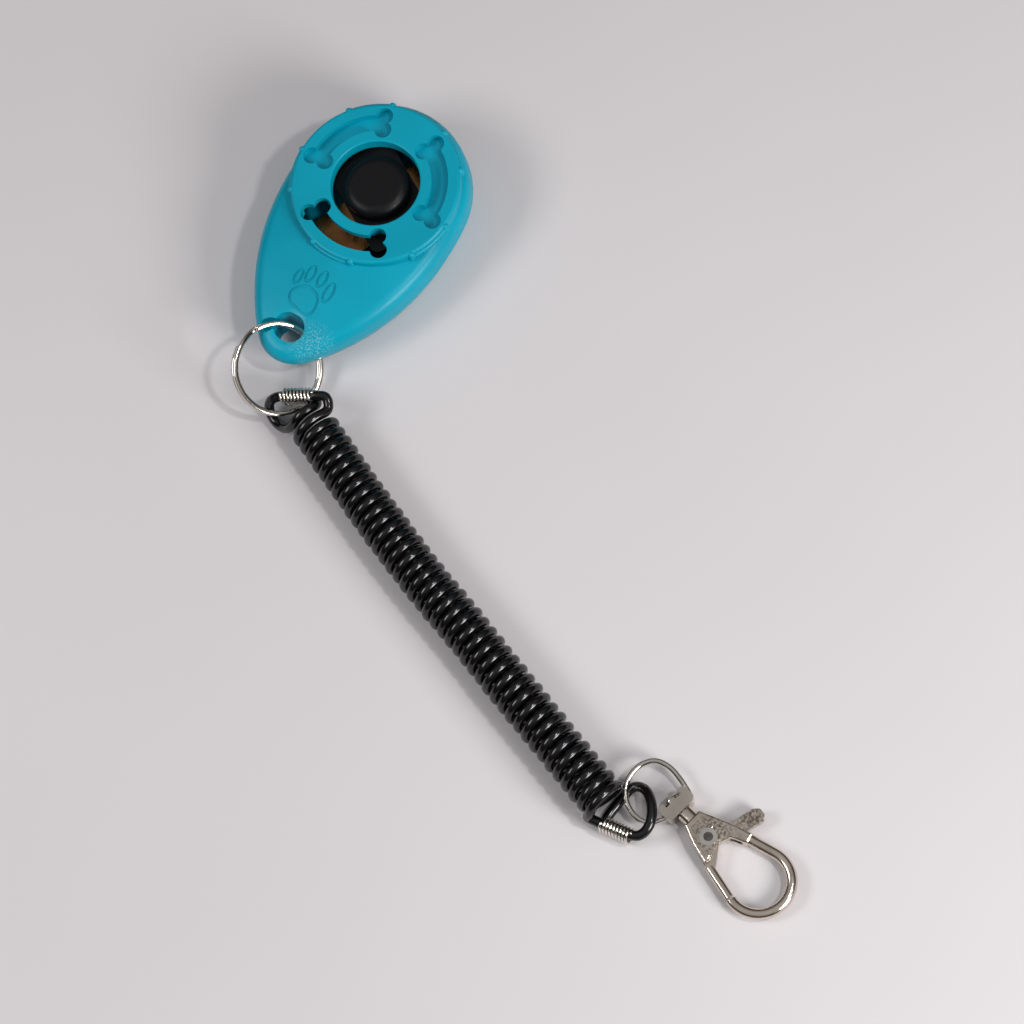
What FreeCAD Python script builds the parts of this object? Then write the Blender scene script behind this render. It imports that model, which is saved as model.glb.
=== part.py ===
"""Clicker trainer: an egg-shaped clicker on a split ring, a coiled wrist cord and a swivel snap hook.

Frame, in millimetres: +Z is up, the object lies on its back on the surface z = 0, the button's axis is
the Z axis, and +X runs from the egg's narrow tail to its round head.
"""
import FreeCAD, Part
import Sketcher
import math
import os

from FreeCAD import Placement, Rotation, Vector

doc = FreeCAD.newDocument("clicker_trainer")

# ------------------------------------------------------------------ driving sizes

SIZES = {
    # egg-shaped case
    "head_radius": 19.9, "head_centre_x": 0.9, "tail_radius": 8.4, "tail_centre_x": -34.9,
    "side_radius": 54.0, "wall": 1.6, "parting_height": 8.0, "crown_radius": 80.0,
    "crown_tail_height": 10.4, "crown_back_height": 15.6, "crown_mid_height": 15.8,
    "crown_head_height": 14.4, "heel_x": -17.0, "toe_x": 14.0, "heel_radius": 69.6,
    "toe_radius": 11.7, "top_round": 3.2, "bottom_round": 2.2, "boss_edge_x": -31.7,
    "top_draft": 3.0, "bottom_draft": 18.0,
    # bezel and its slots
    "bezel_radius": 18.8, "bezel_top": 17.1, "bezel_base": 12.0, "bezel_round": 0.7,
    "tail_ceiling": 15.5, "head_ceiling": 14.1, "room_radius": 16.8, "button_hole_radius": 9.85,
    "chimney_radius": 11.2, "chimney_base": 13.9, "slot_mid_radius": 14.2, "slot_width": 3.7,
    "slot_half_angle": 35.0, "lobe_radius": 1.9, "lobe_offset": 1.6, "recess_depth": 2.0,
    "bone_bead": 0.5, "bone_knob": 0.85, "bone_half_angle": 15.0, "paw_depth": 0.28,
    "paw_line": 0.62,
    # keyring hole
    "hole_x": -36.5, "hole_radius": 3.1, "hole_stretch": 0.45, "dish_radius": 5.2,
    "dish_height": 13.4, "dish_tilt": 13.0,
    # button and click reed
    "button_radius": 7.35, "button_top": 16.4, "button_round": 2.4, "bar_top": 12.6,
    "bar_base": 11.4, "bar_width": 15.4, "bar_length": 26.0, "stem_radius": 1.8,
    "stem_base": 10.5, "reed_thickness": 0.35, "reed_width": 12.0,
    "reed_offset": -3.5, "reed_half_length": 15.3, "reed_end_height": 8.7, "reed_rise": 1.4,
    "seat_width": 2.6, "seat_length": 9.0,
    # split ring
    "ring_mid_radius": 9.85, "ring_wire_radius": 0.62, "ring_turn_gap": 1.16, "groove_radius": 1.42,
    # coiled cord
    "cord_diameter": 2.2, "coil_diameter": 10.6, "strand_gap": 2.3, "wrap_clearance": 0.05,
    "wrap_wire": 0.42,
    # snap hook
    "eye_wire_diameter": 1.25, "clasp_height": 2.15, "block_width": 7.6, "block_length": 4.0,
    "block_thickness": 4.2, "block_round": 1.3, "rivet_head_radius": 1.9, "rivet_head_length": 1.1,
    "rivet_shank_radius": 1.1, "running_gap": 0.06, "frame_thickness": 4.2, "field_depth": 0.6,
    "lever_slot": 1.9, "hook_bar_radius": 1.2, "hook_bend_radius": 6.9, "hook_bend_x": 20.1,
    "gate_thickness": 1.7, "gate_bar_radius": 1.05, "eyelet_radius": 1.35, "eyelet_hole": 1.0,
    "eyelet_flange": 1.9, "pivot_x": 6.2, "pivot_y": -0.5, "spring_wire_radius": 0.2,
}

sheet = doc.addObject("Spreadsheet::Sheet", "sizes")
for row, (alias, value) in enumerate(SIZES.items(), start=1):
    sheet.set("A%d" % row, alias)
    sheet.set("B%d" % row, str(value))
    sheet.setAlias("B%d" % row, alias)
doc.recompute()


def size(alias):
    """The number in one cell of the sheet."""
    return float(sheet.get(alias))


def cell(text):
    """An expression in which every word that is an alias reads its cell of the sheet."""
    words = text.split()
    return " ".join("sizes." + word if word in SIZES else word for word in words)


# ------------------------------------------------------------------ small modelling helpers

def solid(kind, name, links, at=(0, 0, 0), turn=None):
    """A Part primitive whose properties are bound to the sheet."""
    piece = doc.addObject("Part::" + kind, name)
    for prop, expression in links.items():
        piece.setExpression(prop, cell(expression))
    piece.Placement = Placement(Vector(*at), turn or Rotation())
    return piece


def cylinder(name, radius, low, high, at=(0, 0)):
    """An upright cylinder between two heights."""
    piece = solid("Cylinder", name, {"Radius": radius, "Height": "( %s ) - ( %s )" % (high, low)},
                  at=(at[0], at[1], 0))
    piece.setExpression("Placement.Base.z", cell(low))
    return piece


def box(name, low, high):
    """An axis-parallel box between two corners."""
    piece = doc.addObject("Part::Box", name)
    piece.Length, piece.Width, piece.Height = [b - a for a, b in zip(low, high)]
    piece.Placement.Base = Vector(*low)
    return piece


def fuse(name, *parts):
    piece = doc.addObject("Part::MultiFuse", name)
    piece.Shapes = list(parts)
    piece.Refine = True
    return piece


def common(name, *parts):
    piece = doc.addObject("Part::MultiCommon", name)
    piece.Shapes = list(parts)
    return piece


def cut(name, base, *tools):
    piece = doc.addObject("Part::Cut", name)
    piece.Base = base
    piece.Tool = tools[0] if len(tools) == 1 else fuse(name + "_tools", *tools)
    piece.Refine = True
    return piece


def rounded(name, base, radius, wanted):
    """Base with a fillet on each edge for which wanted(edge) is true."""
    doc.recompute()
    piece = doc.addObject("Part::Fillet", name)
    piece.Base = base
    picks = [i for i, edge in enumerate(base.Shape.Edges, start=1) if wanted(edge)]
    piece.Edges = [(i, radius, radius) for i in picks]
    return piece


def at_height(height):
    """Test for edges that lie in the plane z = height."""
    def test(edge):
        bounds = edge.BoundBox
        return abs(bounds.ZMin - height) < 0.01 and abs(bounds.ZMax - height) < 0.01
    return test


def prism(name, outline, low, high):
    """A closed outline of points, straight between them, raised from low to high."""
    points = [Vector(x, y, low) for x, y in outline]
    piece = doc.addObject("Part::Feature", name)
    piece.Shape = Part.Face(Part.makePolygon(points + points[:1])).extrude(Vector(0, 0, high - low))
    return piece


def bend_path(route):
    """Straight runs joined by tangent arcs; each arc is as large as its two runs allow."""
    points = [Vector(*point) for point in route]
    edges, radii, start = [], [], points[0]
    for before, corner, after in zip(points, points[1:], points[2:]):
        run_in, run_out = corner - before, after - corner
        half_turn = run_in.getAngle(run_out) / 2
        reach = 0.45 * min(run_in.Length, run_out.Length)
        radius = reach / math.tan(half_turn)
        way_in, way_out = Vector(run_in).normalize(), Vector(run_out).normalize()
        first, last = corner - way_in * reach, corner + way_out * reach
        inward = Vector(way_out - way_in).normalize()
        middle = corner + inward * (radius / math.cos(half_turn) - radius)
        edges.append(Part.LineSegment(start, first).toShape())
        edges.append(Part.Arc(first, middle, last).toShape())
        radii.append(round(radius, 1))
        start = last
    edges.append(Part.LineSegment(start, points[-1]).toShape())
    return Part.Wire(edges), radii


def tube(name, route, diameter):
    """A round tube along a route, as a sweep of a circle that is bound to the sheet."""
    path = doc.addObject("Part::Feature", name + "_path")
    path.Shape, radii = bend_path(route)
    section = doc.addObject("Part::Circle", name + "_section")
    section.setExpression("Radius", cell("%s / 2" % diameter))
    heading = Vector(*route[1]) - Vector(*route[0])
    section.Placement = Placement(Vector(*route[0]), Rotation(Vector(0, 0, 1), heading))
    piece = doc.addObject("Part::Sweep", name)
    piece.Sections = [section]
    piece.Spine = (path, ["Edge%d" % i for i in range(1, len(path.Shape.Edges) + 1)])
    piece.Solid = True
    doc.recompute()
    length = path.Shape.Length
    ideal = math.pi * (size(diameter) / 2) ** 2 * length
    print(name, "length", round(length, 1), "radii", radii, "volume/ideal",
          round(piece.Shape.Volume / ideal, 3))
    return piece


# ------------------------------------------------------------------ egg-shaped blank

def egg_plan(name, inset):
    """The egg's outline at the parting line, four tangent arcs, drawn in above and below it."""
    body = doc.addObject("PartDesign::Body", name)
    sketch = body.newObject("Sketcher::SketchObject", name + "_outline")
    plane = [f for f in body.Origin.OriginFeatures if f.Role == "XY_Plane"][0]
    sketch.AttachmentSupport = (plane, [""])
    sketch.MapMode = "FlatFace"
    sketch.AttachmentOffset = Placement(Vector(0, 0, size("parting_height")), Rotation())
    head, tail = size("head_radius") - inset, size("tail_radius") - inset
    side = size("side_radius") - inset
    head_x, tail_x = size("head_centre_x"), size("tail_centre_x")
    # the side arc's centre lies (side - head) from the head's and (side - tail) from the tail's
    reach_head, reach_tail, gap = side - head, side - tail, head_x - tail_x
    along = (reach_tail ** 2 - reach_head ** 2 + gap ** 2) / (2 * gap)
    below = math.sqrt(reach_tail ** 2 - along ** 2)
    lean_head = math.atan2(below, head_x - tail_x - along)
    lean_tail = math.atan2(below, -along)
    arcs = [((head_x, 0), head, -lean_head, lean_head),
            ((tail_x + along, -below), side, lean_head, lean_tail),
            ((tail_x, 0), tail, lean_tail, 2 * math.pi - lean_tail),
            ((tail_x + along, below), side, 2 * math.pi - lean_tail, 2 * math.pi - lean_head)]
    for (x, y), radius, first, last in arcs:
        circle = Part.Circle(Vector(x, y, 0), Vector(0, 0, 1), radius)
        sketch.addGeometry(Part.ArcOfCircle(circle, first, last), False)
    add_tangent_ring(sketch, len(arcs))
    for geometry, label, centre in ((0, "head", head_x), (2, "tail", tail_x)):
        fix_round_end(sketch, geometry, label, centre, inset)
    side_limit = sketch.addConstraint(Sketcher.Constraint("Radius", 1, side))
    sketch.setExpression("Constraints[%d]" % side_limit, cell("side_radius - %s" % inset))
    sketch.addConstraint(Sketcher.Constraint("Equal", 1, 3))
    pad = body.newObject("PartDesign::Pad", name + "_pad")
    pad.Profile = sketch
    pad.SideType = "Two sides"
    pad.Length, pad.Length2 = 20, 12
    pad.setExpression("TaperAngle", cell("- top_draft"))
    pad.setExpression("TaperAngle2", cell("- bottom_draft"))
    return body


def add_tangent_ring(sketch, count):
    """Join each arc's end to the next arc's start, tangent."""
    for index in range(count):
        sketch.addConstraint(Sketcher.Constraint("Tangent", index, 2, (index + 1) % count, 1))


def fix_round_end(sketch, geometry, label, centre, inset):
    """Centre of a round end on the X axis, at its place, with its radius."""
    sketch.addConstraint(Sketcher.Constraint("PointOnObject", geometry, 3, -1))
    place = sketch.addConstraint(Sketcher.Constraint("DistanceX", -1, 1, geometry, 3, centre))
    sketch.setExpression("Constraints[%d]" % place, cell(label + "_centre_x"))
    radius = size(label + "_radius") - inset
    limit = sketch.addConstraint(Sketcher.Constraint("Radius", geometry, radius))
    sketch.setExpression("Constraints[%d]" % limit, cell("%s_radius - %s" % (label, inset)))


def crown(name, inset):
    """Everything under the gently domed top face: its side line turned about a low axis."""
    tail = Vector(-48, 0, size("crown_tail_height") - 0.9 - inset)
    waist = Vector(-31, 0, (size("crown_tail_height") + size("crown_back_height")) / 2 + 0.75 - inset)
    back = Vector(-12, 0, size("crown_back_height") + 0.1 - inset)
    middle = Vector(6, 0, size("crown_mid_height") - inset)
    head = Vector(26, 0, size("crown_head_height") - 0.6 - inset)
    low_tail, low_head = Vector(-48, 0, -12), Vector(26, 0, -12)
    edges = [Part.Arc(tail, waist, back).toShape(), Part.Arc(back, middle, head).toShape(),
             Part.LineSegment(head, low_head).toShape(), Part.LineSegment(low_head, low_tail).toShape(),
             Part.LineSegment(low_tail, tail).toShape()]
    axis_point = Vector(0, 0, size("crown_back_height") - size("crown_radius"))
    half = 40
    face = Part.Face(Part.Wire(edges))
    face.rotate(axis_point, Vector(1, 0, 0), -half)
    piece = doc.addObject("Part::Feature", name)
    piece.Shape = face.revolve(axis_point, Vector(1, 0, 0), 2 * half)
    return piece


def rocker(name, inset):
    """Everything above the underside: flat in the middle, curving up to the tail and the head."""
    heel, toe = size("heel_x"), size("toe_x")
    upright = Rotation(Vector(1, 0, 0), 90)
    slabs = [box(name + "_middle", (heel, -30, inset), (toe, 30, 40))]
    for label, at_x, low_x, high_x in (("heel", heel, -50, heel), ("toe", toe, toe, 30)):
        drum = solid("Cylinder", name + "_" + label, {"Radius": label + "_radius - %s" % inset,
                                                      "Height": "60"}, turn=upright)
        drum.Placement.Base = Vector(at_x, 30, size(label + "_radius"))
        slab = box(name + "_" + label + "_slab", (low_x, -30, -5), (high_x, 30, 40))
        slabs.append(common(name + "_" + label + "_end", drum, slab))
    return fuse(name, *slabs)


def egg(name, inset, top_round, bottom_round):
    """The egg-shaped solid, set in from the outside by inset, with its rims rounded."""
    blank = common(name + "_blank", egg_plan(name + "_plan", inset), crown(name + "_crown", inset),
                   rocker(name + "_rocker", inset))
    doc.recompute()

    def on_wall(edge, high):
        bounds = edge.BoundBox
        length = max(bounds.XLength, bounds.YLength)
        upright = bounds.ZLength > 0.9 * edge.Length
        middle = edge.valueAt((edge.FirstParameter + edge.LastParameter) / 2)
        inside = abs(middle.y) < 1 and bounds.YLength > 20
        return not upright and not inside and length > 0.5 and (middle.z > 8.3) == high

    def on_outline(edge):
        first, last = edge.Vertexes[0].Point, edge.Vertexes[-1].Point
        crosswise = abs(first.x - last.x) < 0.01 and abs(first.y + last.y) < 0.01
        closed_end = edge.BoundBox.XLength > 0.5
        return closed_end or not crosswise

    top = rounded(name + "_top", blank, top_round, lambda e: on_wall(e, True) and on_outline(e))
    return rounded(name, top, bottom_round, lambda e: on_wall(e, False) and on_outline(e)
                   and e.BoundBox.ZMax < 7.2)


outer_egg = egg("outer_egg", 0, size("top_round"), size("bottom_round"))
inner_egg = egg("inner_egg", size("wall"), 1.6, 1.0)


# ------------------------------------------------------------------ case

def annular_slot(name, angle, half_angle, low, high):
    """A bone-shaped prism: an arched shank with two round lobes at each end."""
    middle, half_width = size("slot_mid_radius"), size("slot_width") / 2
    ring = cut(name + "_ring",
               cylinder(name + "_outside", "slot_mid_radius + slot_width / 2", str(low), str(high)),
               cylinder(name + "_inside", "slot_mid_radius - slot_width / 2", str(low), str(high)))
    wedge = sector(name + "_wedge", angle, half_angle, middle + 2 * half_width, low, high)
    parts = [common(name + "_shank", ring, wedge)]
    for side in (-1, 1):
        for offset in (-1, 1):
            turn = math.radians(angle + side * half_angle)
            reach = middle + offset * size("lobe_offset")
            at = (reach * math.cos(turn), reach * math.sin(turn))
            label = "%s_lobe_%d_%d" % (name, side + 1, offset + 1)
            parts.append(cylinder(label, "lobe_radius", str(low), str(high), at))
    return fuse(name, *parts)


def sector(name, angle, half_angle, radius, low, high):
    """A pie slice about the Z axis."""
    slice_ = doc.addObject("Part::Cylinder", name)
    slice_.Radius, slice_.Height, slice_.Angle = radius, high - low, 2 * half_angle
    slice_.Placement = Placement(Vector(0, 0, low), Rotation(Vector(0, 0, 1), angle - half_angle))
    return slice_


def bezel():
    """The raised disc with the button's hole."""
    top = size("bezel_top")
    disc = cut("bezel_disc", cylinder("bezel_blank", "bezel_radius", "bezel_base", "bezel_top"),
               cylinder("button_hole", "button_hole_radius", "bezel_base - 1", "bezel_top + 1"))
    rim = rounded("bezel_rim", disc, size("bezel_round"), lambda e: at_height(top)(e)
                  and e.BoundBox.XLength > 2 * size("bezel_radius") - 1)
    return rounded("bezel_soft", rim, 0.35, lambda e: at_height(top)(e) and is_hole_rim(e))


def bone_slots():
    """The bezel's three bone-shaped slots: an open one on the tail's side and two blind ones."""
    over = size("bezel_top") + 1
    blind = size("bezel_top") - size("recess_depth")
    half = size("slot_half_angle")
    return [annular_slot("tail_slot", 180, half, size("parting_height") + 2, over),
            annular_slot("left_slot", 60, half, blind, over),
            annular_slot("right_slot", -60, half, blind, over)]


def is_hole_rim(edge):
    """True for the button hole's edge: a circle about the Z axis of the hole's radius."""
    curve = edge.Curve
    return isinstance(curve, Part.Circle) and abs(curve.Radius - size("button_hole_radius")) < 0.01


def rim_bones():
    """Five small bones that wrap the bezel's side, each a thin bead with two knobs at each end."""
    pieces = []
    radius, upper, lower = size("bezel_radius") - 0.2, size("bezel_top") - 0.85, 1.15
    half = size("bone_half_angle")
    for index in range(5):
        angle = 180 + 72 * index
        bead = solid("Torus", "bone_bead_%d" % index, {"Radius1": "bezel_radius",
                                                       "Radius2": "bone_bead"})
        bead.Angle3 = 2 * half
        bead.Placement = Placement(Vector(0, 0, upper - lower / 2), Rotation(Vector(0, 0, 1), angle - half))
        pieces.append(bead)
        for side in (-1, 1):
            turn = math.radians(angle + side * half)
            for drop in (0, lower):
                knob = solid("Sphere", "bone_knob_%d_%d_%d" % (index, side + 1, drop > 0),
                             {"Radius": "bone_knob"})
                knob.Placement.Base = Vector(radius * math.cos(turn), radius * math.sin(turn), upper - drop)
                pieces.append(knob)
    return pieces


PAD_OUTLINE = [(-26.95, 0.3), (-27.8, 2.5), (-29.8, 3.6), (-31.5, 2.7), (-32.2, 0.6), (-32.6, -1.4),
               (-31.8, -2.85), (-30.2, -3.05), (-28.2, -2.5)]
PAD_MIDDLE = Vector(-29.8, 0.2, 8)


def column(name, outline):
    """An upright column on a closed flat curve."""
    piece = doc.addObject("Part::Feature", name)
    piece.Shape = Part.Face(Part.Wire(outline.toShape())).extrude(Vector(0, 0, 12))
    return piece


def paw_shape(name, grow):
    """The paw's round-cornered pad and four long toes as upright columns, wider all round by grow."""
    pad = Part.BSplineCurve()
    places = [Vector(x, y, PAD_MIDDLE.z) for x, y in PAD_OUTLINE]
    pad.interpolate([p + (p - PAD_MIDDLE).normalize() * grow for p in places], PeriodicFlag=True)
    shapes = [column(name + "_pad", pad)]
    toes = [((-26.0, 3.9), 1.6, 0.75), ((-24.3, 1.7), 1.8, 0.85), ((-24.1, -1.2), 1.8, 0.85),
            ((-26.0, -4.0), 2.2, 0.9)]
    for index, ((x, y), half_length, half_width) in enumerate(toes):
        oval = Part.Ellipse(Vector(x, y, 8), half_length + grow, half_width + grow)
        shapes.append(column("%s_toe_%d" % (name, index), oval))
    return fuse(name, *shapes)


def paw_print():
    """A paw drawn on the crown as thin shallow grooves round its pad and toes."""
    half_line = size("paw_line") / 2
    lines = cut("paw_lines", paw_shape("paw_outer", half_line), paw_shape("paw_inner", -half_line))
    return cut("paw_print", lines, crown("paw_floor", size("paw_depth")))


def keyring_hole(name, low, high):
    """An oval hole through the tail, longer across the egg than along it."""
    halves = []
    for side in (-1, 1):
        at = (size("hole_x"), side * size("hole_stretch"))
        halves.append(cylinder("%s_%d" % (name, side + 1), "hole_radius", str(low), str(high), at))
    return fuse(name, *halves)


RING_CENTRE = Vector(-44.8, -1.5, 8.0)
RING_NORMAL = Vector(0.015, -0.57, 0.82)
RING_PLACE = Placement(RING_CENTRE, Rotation(Vector(0, 0, 1), RING_NORMAL))


def ring_groove(name):
    """The way that the split ring sweeps through the tail, worn into the hole's rim."""
    groove = solid("Torus", name, {"Radius1": "ring_mid_radius", "Radius2": "groove_radius"})
    groove.Placement = RING_PLACE
    return groove


def dish(name):
    """A soft dip round the top of the keyring hole."""
    drop = solid("Ellipsoid", name, {"Radius1": "dish_radius / 4", "Radius2": "dish_radius",
                                     "Radius3": "dish_radius"})
    slope = Rotation(Vector(0, 1, 0), -size("dish_tilt"))
    drop.Placement = Placement(Vector(size("hole_x"), 0, size("dish_height")), slope)
    return drop


def cavity(name):
    """The room inside the two shells, closed off in front of the solid tail boss."""
    edge = size("boss_edge_x")
    return common(name, inner_egg, box(name + "_limit", (edge, -30, -5), (30, 30, 30)))


def half_space(name, upper):
    """A large box above or below the parting plane."""
    parting = size("parting_height")
    return box(name, (-60, -40, parting if upper else -10), (40, 40, 40 if upper else parting))


def make_top_case():
    """The upper shell: its outside is built first, then its room and its holes are taken out of it."""
    upper_egg = common("upper_egg", outer_egg, half_space("upper_half", True))
    outside = fuse("top_outside", upper_egg, bezel(), *rim_bones())
    rooms = fuse("upper_rooms", cavity("upper_cavity"),
                 room_slice("tail_room", 180, 51, size("tail_ceiling")),
                 room_slice("head_room", 0, 127.5, size("head_ceiling")))
    chimney = cylinder("chimney", "chimney_radius", "chimney_base", "bezel_top + 2")
    room = cut("upper_room", rooms, chimney)
    button_way = cylinder("button_way", "button_hole_radius", "parting_height - 3", "bezel_top - 0.5")
    return cut("top_case", outside, room, button_way, *bone_slots(), keyring_hole("upper_hole", 5, 20),
               ring_groove("upper_groove"), dish("upper_dish"), paw_print())


def room_slice(name, angle, half_angle, ceiling):
    """A slice of the hollow behind the bezel's face."""
    floor = size("parting_height") - 1
    return sector(name, angle, half_angle, size("room_radius"), floor, ceiling)


def reed_frame(along, across, height):
    """Reed directions: along is the reed's length, across its width."""
    length_way, width_way = Vector(-0.866, 0.5, 0), Vector(0.5, 0.866, 0)
    return length_way * along + width_way * across + Vector(0, 0, height)


def make_bottom_case():
    shell = common("bottom_shell", cut("bottom_wall", outer_egg, cavity("lower_cavity")),
                   half_space("lower_half", False))
    seats = []
    turn = Rotation(Vector(0, 0, 1), 150)
    for side in (-1, 1):
        seat = solid("Box", "reed_seat_%d" % (side + 1), {"Length": "seat_width", "Width": "seat_length",
                                                         "Height": "reed_end_height - 1"})
        reach = side * (size("reed_half_length") - 1.5) - size("seat_width") / 2
        corner = reed_frame(reach, size("reed_offset") + size("seat_length") / 2, 1.0)
        seat.Placement = Placement(corner, turn)
        seats.append(seat)
    joined = fuse("bottom_joined", shell, *seats)
    return cut("bottom_case", joined, keyring_hole("lower_hole", -5, 10), ring_groove("lower_groove"))


def make_reed():
    """The arched spring plate that clicks when its middle is pushed down."""
    half, rise = size("reed_half_length"), size("reed_rise")
    thick, low = size("reed_thickness"), size("reed_end_height")
    width = size("reed_width")

    def arch(lift):
        ends = [reed_frame(s * half, 0, low + lift) for s in (-1, 1)]
        return Part.Arc(ends[0], reed_frame(0, 0, low + rise + lift), ends[1]).toShape()

    under, over = arch(0), arch(thick)
    sides = [Part.LineSegment(under.valueAt(p), over.valueAt(q)).toShape()
             for p, q in ((under.LastParameter, over.LastParameter),
                          (under.FirstParameter, over.FirstParameter))]
    face = Part.Face(Part.Wire(Part.__sortEdges__([under, over] + sides)))
    way = reed_frame(0, 1, 0)
    face.translate(way * (size("reed_offset") - width / 2))
    plate = doc.addObject("Part::Feature", "click_reed")
    plate.Shape = face.extrude(way * width)
    return plate


def make_button():
    cap = rounded("button_cap", cylinder("button_drum", "button_radius", "bar_top", "button_top"),
                  size("button_round"), at_height(size("button_top")))
    bar = solid("Box", "button_bar_blank", {"Length": "bar_length", "Width": "bar_width",
                                            "Height": "bar_top - bar_base"})
    turn = Rotation(Vector(0, 0, 1), 60)
    corner = turn.multVec(Vector(-size("bar_length") / 2, -size("bar_width") / 2, 0))
    bar.Placement = Placement(corner + Vector(0, 0, size("bar_base")), turn)
    bar_round = rounded("button_bar", bar, 2.0, lambda e: e.BoundBox.ZLength > 1)
    stem = cylinder("button_stem", "stem_radius", "stem_base", "bar_base + 0.5")
    return fuse("button", cap, bar_round, stem)


# ------------------------------------------------------------------ split ring and cord

def make_split_ring():
    """Two close turns of wire, joined along their line of contact."""
    turns = []
    for side in (-1, 1):
        wire = solid("Torus", "ring_turn_%d" % (side + 1), {"Radius1": "ring_mid_radius",
                                                           "Radius2": "ring_wire_radius"})
        wire.Placement.Base = Vector(0, 0, side * size("ring_turn_gap") / 2)
        turns.append(wire)
    ring = fuse("split_ring", *turns)
    ring.Placement = RING_PLACE
    return ring


COIL_ROUTE = [(-50.3, -11.7, 5.4), (-53.4, -18.6, 5.4), (-61.2, -35.7, 5.4), (-69.6, -55.8, 5.4),
              (-73.2, -66.6, 5.4), (-80.9, -86.2, 5.4), (-89.7, -110.2, 5.4)]
RING_LOOP_ROUTE = [(-47.6, -15.2, 8.4), (-45.3, -12.6, 9.3), (-46.6, -10.4, 9.3), (-49.6, -4.4, 5.9),
                   (-51.3, -3.2, 3.4), (-53.5, -3.7, 2.1), (-55.0, -6.4, 1.8), (-54.3, -9.4, 3.0),
                   (-51.6, -10.4, 5.5), (-48.9, -11.4, 6.9), (-46.6, -10.4, 6.72), (-49.6, -4.4, 3.32)]
CLASP_LOOP_ROUTE = [(-93.75, -109.6, 4.6), (-95.1, -112.0, 4.0), (-94.4, -122.9, 4.0),
                    (-92.7, -124.4, 4.4), (-89.9, -124.5, 4.6), (-86.1, -122.3, 4.3),
                    (-83.5, -118.6, 2.9), (-84.6, -115.5, 1.6), (-88.3, -114.8, 1.2),
                    (-92.0, -112.4, 1.2), (-95.04, -112.9, 1.6), (-94.52, -121.0, 1.7)]


def make_wrap(name, first, last, centre_low, centre_high):
    """Wire wound close round two strands that lie one above the other, as one slotted sleeve."""
    radius, gap = size("cord_diameter") / 2 + size("wrap_clearance"), size("strand_gap") / 2
    thick = size("wrap_wire")
    start = Vector(first[0], first[1], centre_low)
    way = Vector(last[0], last[1], centre_high) - start
    shells = []
    for label, reach in (("outside", radius + thick), ("inside", radius)):
        overrun = 0 if label == "outside" else 1
        parts = []
        for side in (-1, 1):
            rod = doc.addObject("Part::Cylinder", "%s_%s_%d" % (name, label, side + 1))
            rod.Radius, rod.Height = reach, way.Length + 2 * overrun
            rod.Placement = Placement(Vector(side * gap, 0, -overrun), Rotation())
            parts.append(rod)
        web = doc.addObject("Part::Box", "%s_%s_web" % (name, label))
        web.Length, web.Width, web.Height = 2 * gap, 2 * reach, way.Length + 2 * overrun
        web.Placement.Base = Vector(-gap, -reach, -overrun)
        shells.append(fuse("%s_%s" % (name, label), web, *parts))
    sleeve = cut(name, *shells)
    heading = Vector(way).normalize()
    upward = Vector(0, 0, 1) - heading * heading.z
    upward.normalize()
    sleeve.Placement = Placement(start, Rotation(upward, heading.cross(upward), heading, "XYZ"))
    return sleeve


# ------------------------------------------------------------------ swivel and snap hook

CLASP_PLACE = Placement(Vector(-84.3, -130.0, size("clasp_height")), Rotation(Vector(0, 0, 1), 256.7))
EYE_ROUTE = [(-3.4, 3.6), (-6.4, 4.4), (-10.2, 4.9), (-13.7, 3.7), (-15.3, 0.2), (-14.7, -3.9),
             (-12.1, -6.9), (-8.3, -8.0), (-4.9, -6.9), (-3.4, -3.6)]
EYE_SLOPE = 0.15


def make_eye():
    """A bent wire eye whose two ends are held in the block."""
    route = [(x, y, EYE_SLOPE * (-3.4 - x)) for x, y in EYE_ROUTE]
    eye = tube("swivel_eye", route, "eye_wire_diameter")
    eye.Placement = CLASP_PLACE
    return eye


def along_clasp(name, radius, first, last, at=(0, 0)):
    """A round bar along the clasp's own long axis."""
    rod = solid("Cylinder", name, {"Radius": radius})
    rod.Height = last - first
    rod.Placement = Placement(Vector(first, at[0], at[1]), Rotation(Vector(0, 1, 0), 90))
    return rod


def make_block():
    length, width, thick = size("block_length"), size("block_width"), size("block_thickness")
    first = -1.6 - length
    blank = box("block_blank", (first, -width / 2, -thick / 2), (first + length, width / 2, thick / 2))
    soft = rounded("block_soft", blank, size("block_round"), lambda e: e.BoundBox.ZLength > 1)
    waist = box("block_waist", (first - 1, -2.1, -thick), (first + 1.2, 2.1, thick))
    bore = along_clasp("block_bore", "rivet_shank_radius + running_gap", first - 1, 0)
    pins = [along_clasp("block_pin_%d" % side, "eye_wire_diameter / 2 + 0.02", first - 1, -3.0,
                        (side * 3.7, 0.15)) for side in (-1, 1)]
    block = cut("swivel_block", soft, waist, bore, *pins)
    block.Placement = CLASP_PLACE
    return block


def make_swivel_rivet():
    """A headed pin fixed in the hook's neck, on which the block turns."""
    head_end = -1.6 - size("block_length") + 1.2 - size("running_gap")
    head_start = head_end - size("rivet_head_length")
    head = along_clasp("rivet_head_blank", "rivet_head_radius", head_start, head_end)
    head_round = rounded("rivet_head", head, 0.45, lambda e: e.BoundBox.XMax < head_end - 0.5)
    shank = along_clasp("rivet_shank", "rivet_shank_radius", head_end - 0.2, 1.6)
    rivet = fuse("swivel_rivet", head_round, shank)
    rivet.Placement = CLASP_PLACE
    return rivet


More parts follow.
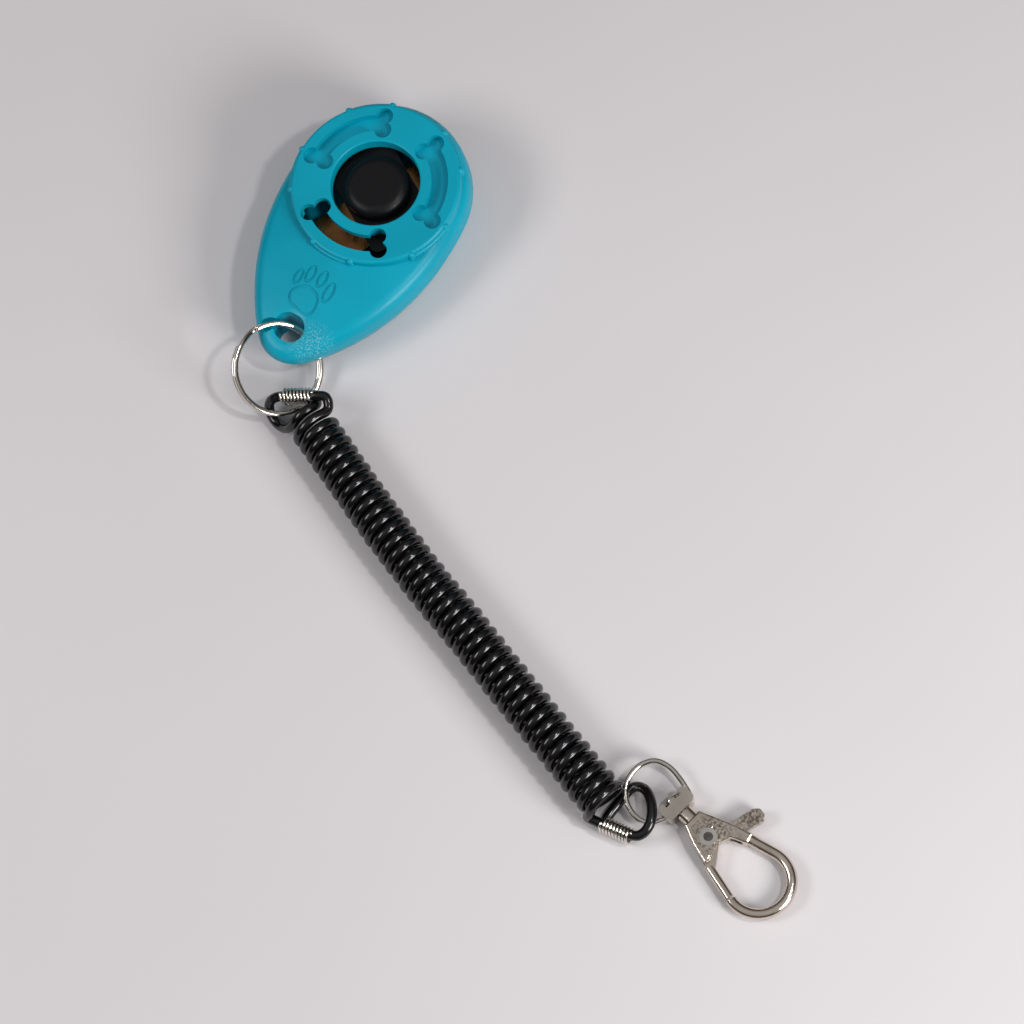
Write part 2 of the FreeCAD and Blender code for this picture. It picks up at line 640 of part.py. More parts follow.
WEB_OUTLINE = [(0.9, -2.2), (0.9, 2.2), (8.0, 5.0), (12.6, 6.3), (13.2, 4.1), (10.6, 3.0), (9.0, 2.2),
               (8.5, 0.6), (8.7, -1.2), (9.9, -3.9), (9.6, -5.1), (5.0, -3.9)]
FIELD_OUTLINE = [(2.2, -1.5), (2.2, 1.5), (8.0, 3.4), (9.4, 3.1), (9.4, 1.0), (9.4, -2.0), (9.0, -4.2),
                 (5.0, -2.9)]


def hook_bar_path():
    """The right rail as a straight run, then the round bend back to the nose."""
    bend, radius = Vector(size("hook_bend_x"), 0.1, 0), size("hook_bend_radius")
    start = Vector(11.2, 4.95, 0)
    reach = bend - start
    swing = math.asin(radius / reach.Length)
    heading = math.atan2(reach.y, reach.x) + swing
    straight = math.sqrt(reach.Length ** 2 - radius ** 2)
    touch = start + Vector(math.cos(heading), math.sin(heading), 0) * straight
    far, nose = bend + Vector(radius, 0, 0), bend + Vector(-0.21, -0.978, 0) * radius
    return Part.Wire([Part.LineSegment(start, touch).toShape(), Part.Arc(touch, far, nose).toShape()])


def sweep_circle(name, wire, radius):
    path = doc.addObject("Part::Feature", name + "_path")
    path.Shape = wire
    section = doc.addObject("Part::Circle", name + "_section")
    section.setExpression("Radius", cell(radius))
    first = wire.Edges[0]
    section.Placement = Placement(first.valueAt(first.FirstParameter),
                                  Rotation(Vector(0, 0, 1), first.tangentAt(first.FirstParameter)))
    bar = doc.addObject("Part::Sweep", name)
    bar.Sections = [section]
    bar.Spine = (path, ["Edge%d" % i for i in range(1, len(wire.Edges) + 1)])
    bar.Solid = True
    return bar


def make_hook():
    half = size("frame_thickness") / 2
    web = prism("hook_web", WEB_OUTLINE, -half, half)
    web_soft = rounded("hook_web_soft", web, 0.5, lambda e: e.BoundBox.ZLength < 0.01)
    neck = along_clasp("hook_neck", "rivet_head_radius", -1.35, 1.4)
    bar = sweep_circle("hook_bar", hook_bar_path(), "hook_bar_radius")
    solid_hook = fuse("hook_blank", web_soft, neck, bar)
    fields = [prism("field_over", FIELD_OUTLINE, half - size("field_depth"), half + 1),
              prism("field_under", FIELD_OUTLINE, -half - 1, -half + size("field_depth"))]
    slot_half = size("lever_slot") / 2
    slot = prism("lever_room", [(3.0, -6), (3.0, 6), (11.0, 8), (12.2, 2.6), (10.5, 1.0), (10.5, -7)],
                 -slot_half, slot_half)
    pivot = cylinder("hook_pivot_hole", "eyelet_radius + 0.01", "-5", "5", (size("pivot_x"), size("pivot_y")))
    bore = along_clasp("hook_bore", "rivet_shank_radius", -2, 1.6)
    hook = cut("hook_body", solid_hook, slot, pivot, bore, *fields)
    hook.Placement = CLASP_PLACE
    return hook


def make_gate():
    """The lever: a hub on the rivet, an arm to the nose and a thumb paddle past the rail."""
    half = size("gate_thickness") / 2
    pivot = (size("pivot_x"), size("pivot_y"))
    hub = cylinder("gate_hub", "2.2", "- gate_thickness / 2", "gate_thickness / 2", pivot)
    arm = prism("gate_arm", [(5.0, -2.2), (8.6, 0.2), (11.6, -3.9), (10.9, -5.9), (9.3, -4.9)], -half, half)
    paddle = prism("gate_paddle", [(4.6, 1.1), (7.4, 5.2), (8.6, 10.4), (9.6, 11.4), (11.0, 11.2),
                                   (12.0, 10.0), (10.6, 5.4), (8.2, -0.4)], -half, half)
    bar_path = Part.Wire([Part.LineSegment(Vector(10.7, -4.85, 0), Vector(18.1, -6.54, 0)).toShape()])
    bar = sweep_circle("gate_bar", bar_path, "gate_bar_radius")
    blank = fuse("gate_blank", hub, arm, paddle, bar)
    hole = cylinder("gate_pivot_hole", "eyelet_radius + running_gap", "-5", "5", pivot)
    spring_room = cut("gate_spring_room", cylinder("spring_room_outside", "2.25", "0.05", "3", pivot),
                      cylinder("spring_room_inside", "0.5", "0", "4", pivot))
    thumb = [prism("thumb_hollow_%d" % (side + 1), [(8.3, 6.4), (9.2, 10.0), (10.0, 10.6), (11.1, 9.9), (10.0, 6.2)],
                   low, low + 1) for side, low in ((-1, -half - 0.75), (1, half - 0.25))]
    gate = cut("gate_lever", blank, hole, spring_room, *thumb)
    gate.Placement = CLASP_PLACE
    return gate


def make_gate_rivet():
    pivot = (size("pivot_x"), size("pivot_y"))
    field = size("frame_thickness") / 2 - size("field_depth")
    barrel = cylinder("eyelet_barrel", "eyelet_radius", str(-field - 0.4), str(field + 0.4), pivot)
    flanges = [cylinder("eyelet_flange_%d" % (side + 1), "eyelet_flange", str(low), str(low + 0.4), pivot)
               for side, low in ((-1, -field - 0.41), (1, field + 0.01))]
    hole = cylinder("eyelet_bore", "eyelet_hole", "-5", "5", pivot)
    rivet = cut("gate_rivet", fuse("eyelet_blank", barrel, *flanges), hole)
    rivet.Placement = CLASP_PLACE
    return rivet


def make_gate_spring():
    """Two turns of spring wire round the rivet, in the lever's pocket."""
    turns = []
    for index in range(2):
        turn = solid("Torus", "spring_turn_%d" % index, {"Radius1": "eyelet_radius + 0.45",
                                                        "Radius2": "spring_wire_radius"})
        turn.Placement.Base = Vector(size("pivot_x"), size("pivot_y"), 0.31 + 0.37 * index)
        turns.append(turn)
    spring = fuse("gate_spring", *turns)
    spring.Placement = CLASP_PLACE
    return spring


# ------------------------------------------------------------------ build, check and write

pieces = [make_top_case(), make_bottom_case(), make_reed(), make_button(), make_split_ring(),
          tube("cord_coil", COIL_ROUTE, "coil_diameter"),
          tube("cord_ring_loop", RING_LOOP_ROUTE, "cord_diameter"),
          tube("cord_clasp_loop", CLASP_LOOP_ROUTE, "cord_diameter"),
          make_wrap("ring_end_wire_wrap", (-47.5, -8.6), (-48.95, -5.7), 6.99, 5.35),
          make_wrap("clasp_end_wire_wrap", (-94.93, -114.6), (-94.53, -120.9), 2.83, 2.83),
          make_eye(), make_block(), make_swivel_rivet(), make_hook(), make_gate(), make_gate_rivet(),
          make_gate_spring()]
doc.recompute()

for item in doc.Objects:
    if set(item.State) & {"Invalid", "Error"}:
        raise RuntimeError("%s failed: %s" % (item.Name, item.State))
os.makedirs("parts", exist_ok=True)
for piece in pieces:
    piece.Label = piece.Name
    shape = piece.Shape
    if shape.isNull() or not shape.isValid() or not shape.Solids:
        raise RuntimeError("%s has no valid solid" % piece.Name)
    bounds = shape.BoundBox
    print("%-20s solids %d volume %8.1f  low (%.1f, %.1f, %.2f) high (%.1f, %.1f, %.2f)" % (
        piece.Name, len(shape.Solids), shape.Volume, bounds.XMin, bounds.YMin, bounds.ZMin,
        bounds.XMax, bounds.YMax, bounds.ZMax))
    shape.exportStep("parts/%s.step" % piece.Name)
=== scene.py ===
"""Looks for the clicker trainer: a teal egg clicker, its split ring, the coiled cord and the snap hook.

Everything is in metres in the part's own frame; lengths written in millimetres are multiplied by MM.
"""

import math

import bpy
from mathutils import Matrix, Vector


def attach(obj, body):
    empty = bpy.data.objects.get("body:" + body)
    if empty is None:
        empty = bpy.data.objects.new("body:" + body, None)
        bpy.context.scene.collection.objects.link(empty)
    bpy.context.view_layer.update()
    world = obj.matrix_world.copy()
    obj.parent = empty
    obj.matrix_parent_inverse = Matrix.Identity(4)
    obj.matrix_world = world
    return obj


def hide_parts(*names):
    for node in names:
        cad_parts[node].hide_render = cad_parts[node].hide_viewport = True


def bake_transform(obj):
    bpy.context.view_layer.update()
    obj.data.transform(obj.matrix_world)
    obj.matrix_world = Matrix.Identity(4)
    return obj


MM = 0.001
CORD_DIAMETER = 2.2 * MM
HELIX_RADIUS = 4.2 * MM
UP = Vector((0, 0, 1))

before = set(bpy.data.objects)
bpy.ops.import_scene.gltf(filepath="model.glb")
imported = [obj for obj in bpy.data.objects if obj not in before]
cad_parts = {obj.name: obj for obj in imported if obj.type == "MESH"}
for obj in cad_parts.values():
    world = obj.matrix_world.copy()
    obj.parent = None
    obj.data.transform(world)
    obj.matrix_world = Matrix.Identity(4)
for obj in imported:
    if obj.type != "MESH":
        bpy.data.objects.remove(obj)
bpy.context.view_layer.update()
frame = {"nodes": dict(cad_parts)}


# ------------------------------------------------------------------ camera

CAMERA_RIGHT = Vector((0.526, -0.842, -0.1198)).normalized()
CAMERA_BACK = Vector((-0.2046, -0.262, 0.9431)).normalized()
CAMERA_UP = CAMERA_BACK.cross(CAMERA_RIGHT)
TARGET = Vector((-45, -65, 0)) * MM
CAMERA_SHIFT_RIGHT, CAMERA_SHIFT_UP, CAMERA_DISTANCE = -3.285, 1.346, 900
LENS, SENSOR_WIDTH = 146.8, 36


def seen_from_camera(right, up, back):
    """A point given by its millimetres to the right of, above and in front of the target."""
    return TARGET + (CAMERA_RIGHT * right + CAMERA_UP * up + CAMERA_BACK * back) * MM


def aim(obj, place, right, up, back):
    turn = Matrix((right, up, back)).transposed().to_4x4()
    obj.matrix_world = Matrix.Translation(place) @ turn


def make_camera():
    data = bpy.data.cameras.new("camera")
    data.lens, data.sensor_width = LENS, SENSOR_WIDTH
    data.clip_start, data.clip_end = 0.05, 10
    camera = bpy.data.objects.new("camera", data)
    bpy.context.scene.collection.objects.link(camera)
    place = seen_from_camera(CAMERA_SHIFT_RIGHT, CAMERA_SHIFT_UP, CAMERA_DISTANCE)
    aim(camera, place, CAMERA_RIGHT, CAMERA_UP, CAMERA_BACK)
    bpy.context.scene.camera = camera
    bpy.context.scene.view_settings.view_transform = "Standard"


# ------------------------------------------------------------------ mesh helpers

def add_mesh(name, points, faces, smooth=True):
    mesh = bpy.data.meshes.new(name)
    mesh.from_pydata([tuple(p) for p in points], [], faces)
    mesh.polygons.foreach_set("use_smooth", [smooth] * len(mesh.polygons))
    obj = bpy.data.objects.new(name, mesh)
    bpy.context.scene.collection.objects.link(obj)
    return obj


def spline_points(name, route, steps=10):
    """Points read along the smooth curve whose control points, in millimetres, are the route."""
    data = bpy.data.curves.new(name, "CURVE")
    data.dimensions, data.resolution_u = "3D", steps
    spline = data.splines.new("NURBS")
    spline.points.add(len(route) - 1)
    for point, place in zip(spline.points, route):
        point.co = (*(Vector(place) * MM), 1)
    spline.order_u = 3
    spline.use_endpoint_u = True
    curve = bpy.data.objects.new(name, data)
    mesh = bpy.data.meshes.new_from_object(curve)
    points = [vertex.co.copy() for vertex in mesh.vertices]
    bpy.data.objects.remove(curve)
    bpy.data.meshes.remove(mesh)
    return points


def tangents(points):
    """The direction of travel at each point of a path."""
    ends = zip(points[:1] + points[:-1], points[1:] + points[-1:])
    return [(after - before).normalized() for before, after in ends]


def carried_sides(points, first_side):
    """One sideways direction at each point, carried along the path without twist."""
    sides = [first_side]
    for way in tangents(points):
        side = sides[-1] - way * sides[-1].dot(way)
        sides.append(side.normalized())
    return sides[1:]


def ring_of(centre, side, other, section):
    return [centre + side * a + other * b for a, b in section]


def sweep(name, points, section, first_side=UP):
    """A solid made by carrying a section, a list of (sideways, other) offsets, along a path."""
    ways, sides = tangents(points), carried_sides(points, first_side)
    verts = []
    for point, way, side in zip(points, ways, sides):
        verts += ring_of(point, side, way.cross(side), section)
    n = len(section)
    faces = []
    for row in range(len(points) - 1):
        low, high = row * n, (row + 1) * n
        faces += [(low + k, low + (k + 1) % n, high + (k + 1) % n, high + k) for k in range(n)]
    faces.append(tuple(reversed(range(n))))
    faces.append(tuple(range(len(verts) - n, len(verts))))
    return add_mesh(name, verts, faces)


def circle(radius, count=14):
    return [(radius * math.cos(a), radius * math.sin(a))
            for a in (math.tau * k / count for k in range(count))]


def path_length(points):
    return sum((b - a).length for a, b in zip(points, points[1:]))


# ------------------------------------------------------------------ cord

COIL_ROUTE = [(-50.3, -11.7, 5.4), (-53.4, -18.6, 5.4), (-61.2, -35.7, 5.4), (-69.6, -55.8, 5.4),
              (-73.2, -66.6, 5.4), (-80.9, -86.2, 5.4), (-91.4, -114.8, 5.4)]
RING_LOOP_ROUTE = [(-46.6, -16.1, 8.5), (-45.0, -15.1, 9.2), (-46.0, -13.0, 9.35), (-49.6, -5.2, 7.4),
                   (-51.2, -2.9, 5.0), (-52.9, -3.4, 2.7), (-54.4, -6.2, 2.0), (-54.8, -9.0, 3.4),
                   (-54.2, -10.9, 6.2), (-52.0, -11.8, 8.9), (-49.2, -12.9, 9.0), (-47.2, -13.5, 7.1),
                   (-46.4, -12.1, 6.8), (-49.4, -5.4, 5.2)]
CLASP_LOOP_ROUTE = [(-95.4, -112.4, 4.0), (-95.2, -114.6, 4.0), (-94.2, -122.6, 4.0),
                    (-92.4, -124.2, 4.5), (-89.5, -124.2, 5.0), (-86.2, -122.3, 4.8),
                    (-83.7, -119.0, 2.9), (-84.4, -116.1, 1.6), (-88.0, -115.5, 1.2),
                    (-91.8, -115.0, 1.2), (-94.9, -114.9, 1.6), (-94.3, -121.5, 1.7)]
TURNS = 40.25
FIRST_ANGLE = math.radians(75)
FIRST_PITCH, LAST_PITCH = 2.55, 2.8
LEAD_IN, LEAD_OUT = 3.4 * MM, 1.0 * MM
STEPS_PER_TURN = 40
SLOW_WAVER, SLOW_WAVER_RATE = 0.012, 0.37
SLIGHT_WAVER, SLIGHT_WAVER_RATE = 0.008, 0.11
JOIN_PULL = 1.1


def along(points, distance):
    """The point and direction at a distance along a path."""
    for a, b in zip(points, points[1:]):
        span = (b - a).length
        if distance <= span:
            break
        distance -= span
    way = (b - a).normalized()
    return a + way * distance, way


def helix_points():
    """The coil: a right-handed helix round the coil's own curved axis."""
    axis = spline_points("coil_axis", COIL_ROUTE, 24)
    room = path_length(axis) - LEAD_IN - LEAD_OUT
    points = []
    count = int(TURNS * STEPS_PER_TURN)
    mean_pitch = (FIRST_PITCH + LAST_PITCH) / 2
    for index in range(count + 1):
        u = index / count
        grown = (FIRST_PITCH * u + (LAST_PITCH - FIRST_PITCH) * u * u / 2) / mean_pitch
        centre, way = along(axis, LEAD_IN + room * grown)
        angle = FIRST_ANGLE + math.tau * TURNS * u
        radius = HELIX_RADIUS * (1 + SLOW_WAVER * math.sin(SLOW_WAVER_RATE * angle)
                                 + SLIGHT_WAVER * math.sin(SLIGHT_WAVER_RATE * angle))
        sideways = UP.cross(way).normalized()
        points.append(centre + (sideways * math.cos(angle) + UP * math.sin(angle)) * radius)
    return points


def joining_points(start, start_way, end, end_way, count=10):
    """A smooth stretch between two paths, leaving and arriving in the given directions."""
    reach = (end - start).length
    first, last = start_way * reach * JOIN_PULL, end_way * reach * JOIN_PULL
    points = []
    for index in range(1, count):
        u = index / count
        points.append(start * (2 * u ** 3 - 3 * u ** 2 + 1) + first * (u ** 3 - 2 * u ** 2 + u)
                      + end * (3 * u ** 2 - 2 * u ** 3) + last * (u ** 3 - u ** 2))
    return points


def spaced(points, least=0.25 * MM):
    """The same path without points that nearly repeat the one before."""
    kept = points[:1]
    for point in points[1:]:
        if (point - kept[-1]).length > least:
            kept.append(point)
    return kept


def cord_points():
    ring_loop = spline_points("ring_loop_line", RING_LOOP_ROUTE)
    ring_loop.reverse()
    helix = helix_points()
    clasp_loop = spline_points("clasp_loop_line", CLASP_LOOP_ROUTE)
    into = joining_points(ring_loop[-1], tangents(ring_loop)[-1], helix[0], tangents(helix)[0])
    out = joining_points(helix[-1], tangents(helix)[-1], clasp_loop[0], tangents(clasp_loop)[0])
    return spaced(ring_loop + into + helix + out + clasp_loop)


def make_cord(points):
    cord = sweep("coiled_cord", points, circle(CORD_DIAMETER / 2, 14))
    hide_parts("cord_coil", "cord_ring_loop", "cord_clasp_loop")
    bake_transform(cord)
    return cord


# ------------------------------------------------------------------ wire wraps and split ring

WRAP_STEPS_PER_TURN = 32
WRAP_HALF_GAP = 1.15 * MM
WRAP_CLEARANCE = 0.03 * MM
STADIUM_SHARPNESS = 5


def stadium(angle, radius, half_gap):
    """A point of a stadium outline as (along its long axis, across it)."""
    long_way = radius * math.cos(angle) + half_gap * math.tanh(STADIUM_SHARPNESS * math.cos(angle))
    return long_way, radius * math.sin(angle)


def make_wrap(name, node, body, first, last, turns, wire):
    """Bright wire wound round the two strands of a cord loop."""
    start, end = Vector(first) * MM, Vector(last) * MM
    way = (end - start).normalized()
    upward = (UP - way * way.z).normalized()
    side = way.cross(upward)
    radius = CORD_DIAMETER / 2 + wire / 2 + WRAP_CLEARANCE
    points = []
    count = int(turns * WRAP_STEPS_PER_TURN)
    for index in range(count + 1):
        a, b = stadium(math.tau * turns * index / count, radius, WRAP_HALF_GAP)
        points.append(start.lerp(end, index / count) + upward * a + side * b)
    wrap = sweep(name, points, circle(wire / 2, 8), way)
    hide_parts(node)
    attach(wrap, body)
    return wrap


RING_CENTRE = Vector((-44.8, -1.5, 8.0)) * MM
RING_NORMAL = Vector((0.015, -0.57, 0.82)).normalized()
RING_RADIUS = 9.85 * MM
RING_STEP_START, RING_STEP_END = math.radians(66), math.radians(96)
RING_TURN_HALF = 0.57 * MM
RING_STEPS = 260
SECTION_SQUARENESS = 0.55


def ring_section(half_height, half_width):
    """A half-round wire section: flat where the two turns touch, rounded elsewhere."""
    section = []
    for k in range(14):
        a = math.tau * k / 14
        x, y = math.cos(a), math.sin(a)
        section.append((math.copysign(abs(x) ** SECTION_SQUARENESS, x) * half_width,
                        math.copysign(abs(y) ** SECTION_SQUARENESS, y) * half_height))
    return section


def make_split_ring():
    """Two touching turns of flattened wire, with the step and the two cut ends of a real keyring."""
    across = (Vector((1, 0, 0)) - RING_NORMAL * RING_NORMAL.x).normalized()
    other = RING_NORMAL.cross(across)
    step = RING_STEP_END - RING_STEP_START
    total = 2 * math.tau - step
    points = []
    for index in range(RING_STEPS + 1):
        turn = total * index / RING_STEPS
        rise = min(max((turn - (math.tau - step)) / step, 0), 1)
        level = RING_TURN_HALF * (2 * (3 * rise ** 2 - 2 * rise ** 3) - 1)
        angle = RING_STEP_END + turn
        spoke = across * math.cos(angle) + other * math.sin(angle)
        points.append(RING_CENTRE + spoke * RING_RADIUS + RING_NORMAL * level)
    first_spoke = across * math.cos(RING_STEP_END) + other * math.sin(RING_STEP_END)
    ring = sweep("split_ring_wire", points, ring_section(0.54 * MM, 0.6 * MM), first_spoke)
    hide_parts("split_ring")
    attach(ring, "ring")
    return ring


# ------------------------------------------------------------------ materials

def fill_ramp(ramp, stops):
    """Puts a colour ramp's (position, colour) stops in place of its first two."""
    for index, (position, colour) in enumerate(stops):
        if index > 1:
            ramp.elements.new(position)
        ramp.elements[index].position = position
        ramp.elements[index].color = (*colour, 1)


class Finish:
    """A procedural material built node by node round one Principled shader."""

    def __init__(self, name, colour, roughness, metallic=0.0):
        self.material = bpy.data.materials.new(name)
        self.material.use_nodes = True
        self.tree = self.material.node_tree
        self.shader = self.tree.nodes["Principled BSDF"]
        self.shader.inputs["Base Color"].default_value = (*colour, 1)
        self.shader.inputs["Roughness"].default_value = roughness
        self.shader.inputs["Metallic"].default_value = metallic
        self.place = self.tree.nodes.new("ShaderNodeTexCoord").outputs["Object"]
        self.normal = None

    def link(self, source, target):
        self.tree.links.new(source, target)

    def noise(self, scale, detail=3.0, stretch=None):
        node = self.tree.nodes.new("ShaderNodeTexNoise")
        node.inputs["Scale"].default_value = scale
        node.inputs["Detail"].default_value = detail
        place = self.place
        if stretch:
            mapping = self.tree.nodes.new("ShaderNodeMapping")
            mapping.inputs["Scale"].default_value = stretch
            self.link(place, mapping.inputs["Vector"])
            place = mapping.outputs["Vector"]
        self.link(place, node.inputs["Vector"])
        return node.outputs["Fac"]

    def ramp(self, source, *stops):
        node = self.tree.nodes.new("ShaderNodeValToRGB")
        fill_ramp(node.color_ramp, stops)
        self.link(source, node.inputs["Fac"])
        return node.outputs["Color"]

    def levels(self, source, low, high, from_low=0.3, from_high=0.7):
        node = self.tree.nodes.new("ShaderNodeMapRange")
        node.inputs["From Min"].default_value, node.inputs["From Max"].default_value = from_low, from_high
        node.inputs["To Min"].default_value, node.inputs["To Max"].default_value = low, high
        self.link(source, node.inputs["Value"])
        return node.outputs["Result"]

    def combine(self, operation, first, second):
        """Two numbers put together by the named operation."""
        node = self.tree.nodes.new("ShaderNodeMath")
        node.operation = operation
        for socket, value in zip(node.inputs, (first, second)):
            if isinstance(value, (int, float)):
                socket.default_value = value
            else:
                self.link(value, socket)
        return node.outputs["Value"]

    def mix(self, factor, source, colour):
        """The source's colour where the factor is 0 and the given colour where it is 1."""
        node = self.tree.nodes.new("ShaderNodeMix")
        node.data_type = "RGBA"
        factor_socket, *_, first, second = [socket for socket in node.inputs if socket.enabled]
        self.link(factor, factor_socket)
        self.link(source, first)
        second.default_value = (*colour, 1)
        return next(socket for socket in node.outputs if socket.enabled)

    def near(self, centre, reach):
        """1 at a point of the part, falling to 0 at a distance from it."""
        node = self.tree.nodes.new("ShaderNodeVectorMath")
        node.operation = "DISTANCE"
        self.link(self.place, node.inputs[0])
        node.inputs[1].default_value = centre
        return self.levels(node.outputs["Value"], 1, 0, 0.35 * reach, reach)

    def bump(self, height, distance, strength=1.0):
        node = self.tree.nodes.new("ShaderNodeBump")
        node.inputs["Distance"].default_value = distance
        node.inputs["Strength"].default_value = strength
        self.link(height, node.inputs["Height"])
        if self.normal:
            self.link(self.normal, node.inputs["Normal"])
        self.normal = node.outputs["Normal"]
        self.link(self.normal, self.shader.inputs["Normal"])


def case_plastic():
    finish = Finish("teal_abs", (0.001, 0.33, 0.46), 0.34)
    finish.shader.inputs["Specular IOR Level"].default_value = 0.2
    tone = finish.ramp(finish.noise(55, 2), (0.3, (0.0005, 0.31, 0.43)), (0.7, (0.0015, 0.35, 0.49)))
    patch = finish.near((-37 * MM, -6 * MM, 10.5 * MM), 6 * MM)
    sparkle = finish.combine("MULTIPLY", finish.noise(1600, 2), patch)
    # Pale speckles mixed into the base colour near the hole are painted glints of the patch's fine
    # texture; its bump and extra roughness are real.
    painted_glints = finish.combine("MULTIPLY", finish.levels(finish.noise(2600, 2), 0, 0.62, 0.5, 0.68), patch)
    finish.link(finish.mix(painted_glints, tone, (0.30, 0.60, 0.66)), finish.shader.inputs["Base Color"])
    smooth = finish.levels(finish.noise(120, 3), 0.30, 0.37)
    finish.link(finish.combine("ADD", smooth, finish.combine("MULTIPLY", patch, 0.10)),
                finish.shader.inputs["Roughness"])
    finish.bump(finish.noise(2600, 3), 0.012 * MM, 0.5)
    finish.bump(sparkle, 0.16 * MM, 0.9)
    finish.shader.inputs["Subsurface Weight"].default_value = 0.06
    finish.shader.inputs["Subsurface Radius"].default_value = (0.0004, 0.0012, 0.0014)
    return finish.material


def button_plastic():
    finish = Finish("black_abs_grained", (0.004, 0.004, 0.005), 0.42)
    finish.shader.inputs["Specular IOR Level"].default_value = 0.22
    finish.link(finish.levels(finish.noise(900, 3), 0.34, 0.50), finish.shader.inputs["Roughness"])
    finish.bump(finish.noise(1500, 4), 0.035 * MM, 0.8)
    return finish.material


def reed_steel():
    finish = Finish("bronzed_spring_steel", (0.10, 0.05, 0.02), 0.32, metallic=1.0)
    tone = finish.noise(90, 4)
    finish.link(finish.ramp(tone, (0.3, (0.20, 0.085, 0.03)), (0.6, (0.34, 0.16, 0.055)),
                            (0.8, (0.17, 0.15, 0.07))), finish.shader.inputs["Base Color"])
    finish.link(finish.levels(finish.noise(300, 3, (1, 12, 1)), 0.22, 0.42),
                finish.shader.inputs["Roughness"])
    finish.bump(finish.noise(700, 3, (1, 10, 1)), 0.01 * MM, 0.5)
    return finish.material


def nickel(name, colour, roughness, grain):
    """Plated metal: slightly warm, with darker blotches painted into its colour as painted dark
    reflections, and a fine surface grain.
    """
    finish = Finish(name, colour, roughness, metallic=1.0)
    tone = finish.noise(160, 3)
    # Random blotches down to 82 percent of the colour: painted dark reflections.
    painted_reflection_tone = tuple(0.82 * c for c in colour)
    finish.link(finish.ramp(tone, (0.32, painted_reflection_tone), (0.62, colour)), finish.shader.inputs["Base Color"])
    finish.link(finish.levels(finish.noise(420, 4), roughness * 0.75, roughness * 1.3),
                finish.shader.inputs["Roughness"])
    finish.bump(finish.noise(320, 2), 0.10 * MM, 0.5)
    finish.bump(finish.noise(900, 4), grain, 0.6)
    return finish


def cast_nickel(name, spots):
    """Nickel with the coarse cast grain that polishing never reached, near the given points, its pits
    darkened with painted shade.
    """
    finish = nickel(name, (0.74, 0.65, 0.56), 0.17, 0.004 * MM)
    rough, *others = [finish.near([c * MM for c in centre], reach * MM) for centre, reach in spots]
    for mask in others:
        rough = finish.combine("MAXIMUM", rough, mask)
    # Dark brown speckles mixed into the colour where the grain is coarse are painted shade in its pits;
    # the grain's bump is real.
    painted_pit_shade = finish.combine("MULTIPLY", finish.levels(finish.noise(1700, 2), 0.9, 0, 0.40, 0.56), rough)
    metal = finish.shader.inputs["Base Color"].links[0].from_socket
    finish.link(finish.mix(painted_pit_shade, metal, (0.20, 0.16, 0.12)), finish.shader.inputs["Base Color"])
    finish.bump(finish.combine("MULTIPLY", finish.noise(1500, 2), rough), 0.22 * MM, 0.9)
    return finish.material


def cord_rubber():
    finish = Finish("black_cord", (0.004, 0.004, 0.0045), 0.2)
    finish.link(finish.levels(finish.noise(260, 3), 0.12, 0.2), finish.shader.inputs["Roughness"])
    finish.bump(finish.noise(380, 2), 0.015 * MM, 0.3)
    return finish.material


def put_on(material, *objects):
    for obj in objects:
        obj.data.materials.clear()
        obj.data.materials.append(material)


# ------------------------------------------------------------------ floor and light

def floor_material():
    finish = Finish("pale_floor", (0.65, 0.622, 0.637), 0.85)
    finish.link(finish.ramp(finish.noise(9, 2), (0.3, (0.64, 0.612, 0.627)), (0.7, (0.66, 0.632, 0.647))),
                finish.shader.inputs["Base Color"])
    finish.bump(finish.noise(700, 3), 0.02 * MM, 0.3)
    return finish.material


def make_floor():
    half = 1.6
    floor = add_mesh("floor", [(-half, -half, 0), (half, -half, 0), (half, half, 0), (-half, half, 0)],
                     [(0, 1, 2, 3)], smooth=False)
    put_on(floor_material(), floor)


def softbox(name, right, up, back, width, height, power, tint=(1, 1, 1)):
    """A rectangular light at a place seen from the camera, facing the object."""
    data = bpy.data.lights.new(name, "AREA")
    data.shape, data.size, data.size_y = "RECTANGLE", width * MM, height * MM
    data.energy, data.color = power, tint
    lamp = bpy.data.objects.new(name, data)
    bpy.context.scene.collection.objects.link(lamp)
    place = seen_from_camera(right, up, back)
    facing = (place - TARGET).normalized()
    side = CAMERA_UP.cross(facing).normalized()
    aim(lamp, place, side, facing.cross(side), facing)


SKY_STOPS = ((0.0, (0.07, 0.05, 0.038)), (0.42, (0.10, 0.08, 0.065)), (0.68, (0.5, 0.48, 0.465)),
             (0.95, (0.80, 0.80, 0.81)))
SKY_STRENGTH = 0.5


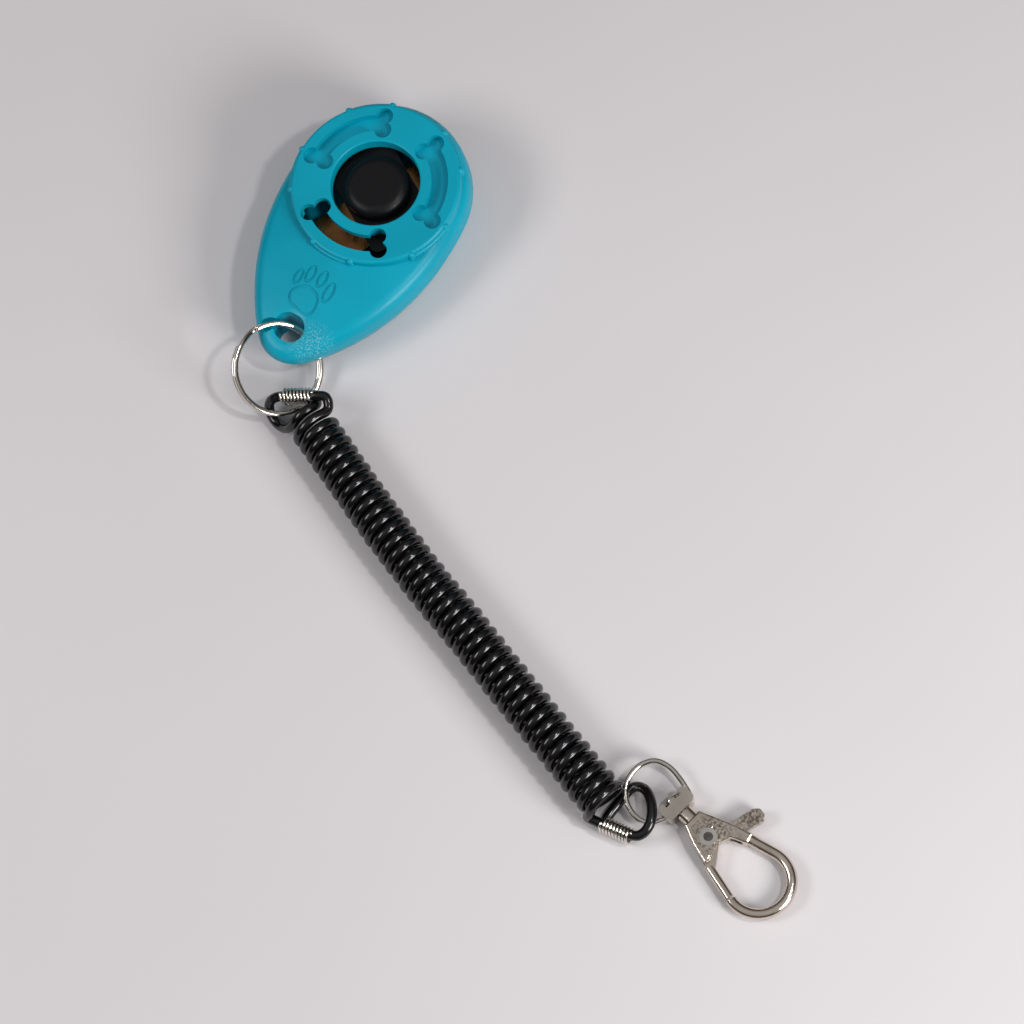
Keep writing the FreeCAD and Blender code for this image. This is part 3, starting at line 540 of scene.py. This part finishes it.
def make_world():
    """A studio that is dark and warm towards the floor and bright overhead."""
    world = bpy.data.worlds.new("studio")
    world.use_nodes = True
    nodes, links = world.node_tree.nodes, world.node_tree.links
    place = nodes.new("ShaderNodeTexCoord")
    split = nodes.new("ShaderNodeSeparateXYZ")
    ramp = nodes.new("ShaderNodeValToRGB")
    fill_ramp(ramp.color_ramp, SKY_STOPS)
    links.new(place.outputs["Generated"], split.inputs["Vector"])
    links.new(split.outputs["Z"], ramp.inputs["Fac"])
    links.new(ramp.outputs["Color"], nodes["Background"].inputs["Color"])
    nodes["Background"].inputs["Strength"].default_value = SKY_STRENGTH
    bpy.context.scene.world = world


def make_lights():
    make_world()
    softbox("key", 430, -200, 460, 240, 240, 3.4, (1.0, 0.985, 0.97))
    softbox("sharp", 330, 160, 760, 60, 60, 1.5)
    softbox("fill", -520, 60, 420, 200, 320, 1.5, (0.97, 0.985, 1.0))


# ------------------------------------------------------------------ the scene

make_camera()
cord_line = cord_points()
print("cord length %.4f m" % path_length(cord_line))
cord = make_cord(cord_line)
ring_wrap = make_wrap("ring_end_wire", "ring_end_wire_wrap", "cord",
                      (-46.2, -12.5, 8.08), (-49.25, -5.9, 6.43), 9.0, 0.58 * MM)
clasp_wrap = make_wrap("clasp_end_wire", "clasp_end_wire_wrap", "cord_end",
                       (-95.0, -115.2, 2.83), (-94.25, -121.9, 2.83), 9.0, 0.6 * MM)
split_ring = make_split_ring()

nodes = frame["nodes"]

put_on(case_plastic(), nodes["top_case"], nodes["bottom_case"])
put_on(button_plastic(), nodes["button"])
put_on(reed_steel(), nodes["click_reed"])
put_on(cord_rubber(), cord, nodes["cord_coil"], nodes["cord_ring_loop"], nodes["cord_clasp_loop"])
bright = nickel("bright_nickel", (0.80, 0.76, 0.70), 0.12, 0.003 * MM).material
put_on(bright, split_ring, nodes["split_ring"], ring_wrap, clasp_wrap, nodes["ring_end_wire_wrap"],
       nodes["clasp_end_wire_wrap"], nodes["swivel_eye"], nodes["gate_rivet"])
put_on(cast_nickel("clasp_nickel", [((-85.4, -136.5, 4.0), 5.5), ((-86.5, -141.5, 4.0), 4.5)]),
       nodes["hook_body"])
put_on(nickel("block_nickel", (0.72, 0.65, 0.57), 0.14, 0.003 * MM).material,
       nodes["swivel_block"], nodes["swivel_rivet"])
put_on(cast_nickel("lever_nickel", [((-77.0, -141.0, 3.0), 6.0)]), nodes["gate_lever"])
put_on(nickel("spring_steel", (0.42, 0.41, 0.40), 0.3, 0.003 * MM).material, nodes["gate_spring"])

make_floor()
make_lights()
